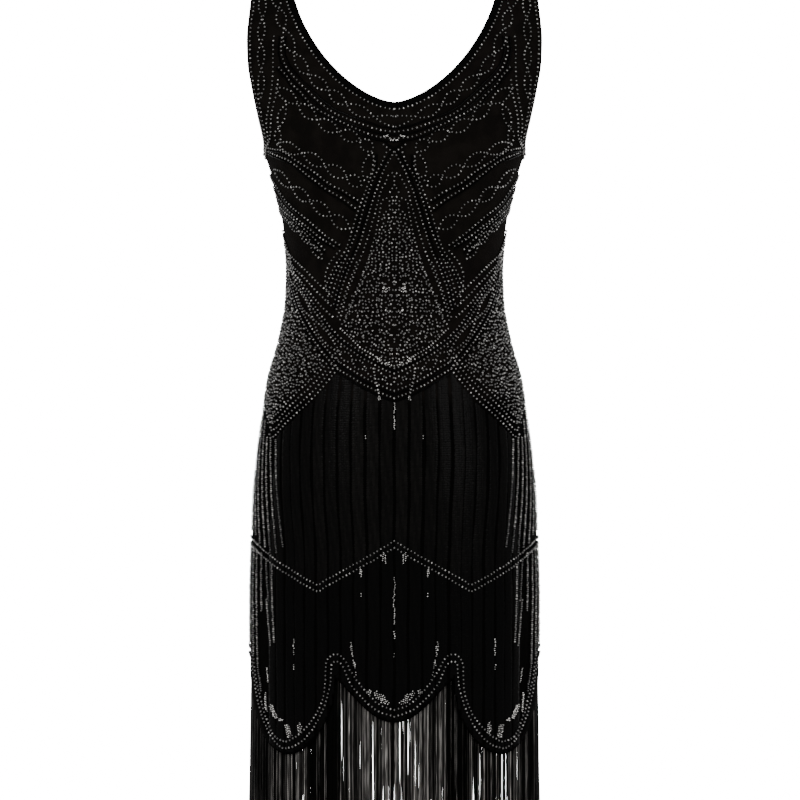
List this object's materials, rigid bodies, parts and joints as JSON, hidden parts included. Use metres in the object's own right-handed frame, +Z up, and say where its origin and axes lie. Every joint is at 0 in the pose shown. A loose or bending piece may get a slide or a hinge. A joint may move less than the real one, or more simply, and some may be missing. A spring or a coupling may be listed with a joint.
{
  "type": "flapper dress",
  "caption": "Sleeveless fitted knee-length dress with a scooped neck, deep armholes, scalloped hem and thread fringe, filled out as worn.",
  "frame": {"origin": "midway between the shoulder seams' neck ends, where the wearer's shoulders hold the dress up", "axes": "+Z up, -Y the way the front faces, +X towards the wearer's left side"},
  "size_m": [0.3514, 0.2477, 1.0722],
  "materials": {
    "net": "matte black net with a faint sheen",
    "satin": "black satin",
    "fringe": "black twisted thread",
    "silver_beads": "silver-lined clear glass",
    "black_beads": "glossy black glass"
  },
  "bodies": {
    "root": {"front_panel": "net", "back_panel": "net", "neck_binding_front": "satin", "neck_binding_back": "satin", "fringe_front": "fringe", "fringe_back": "fringe"}
  },
  "joints": []
}
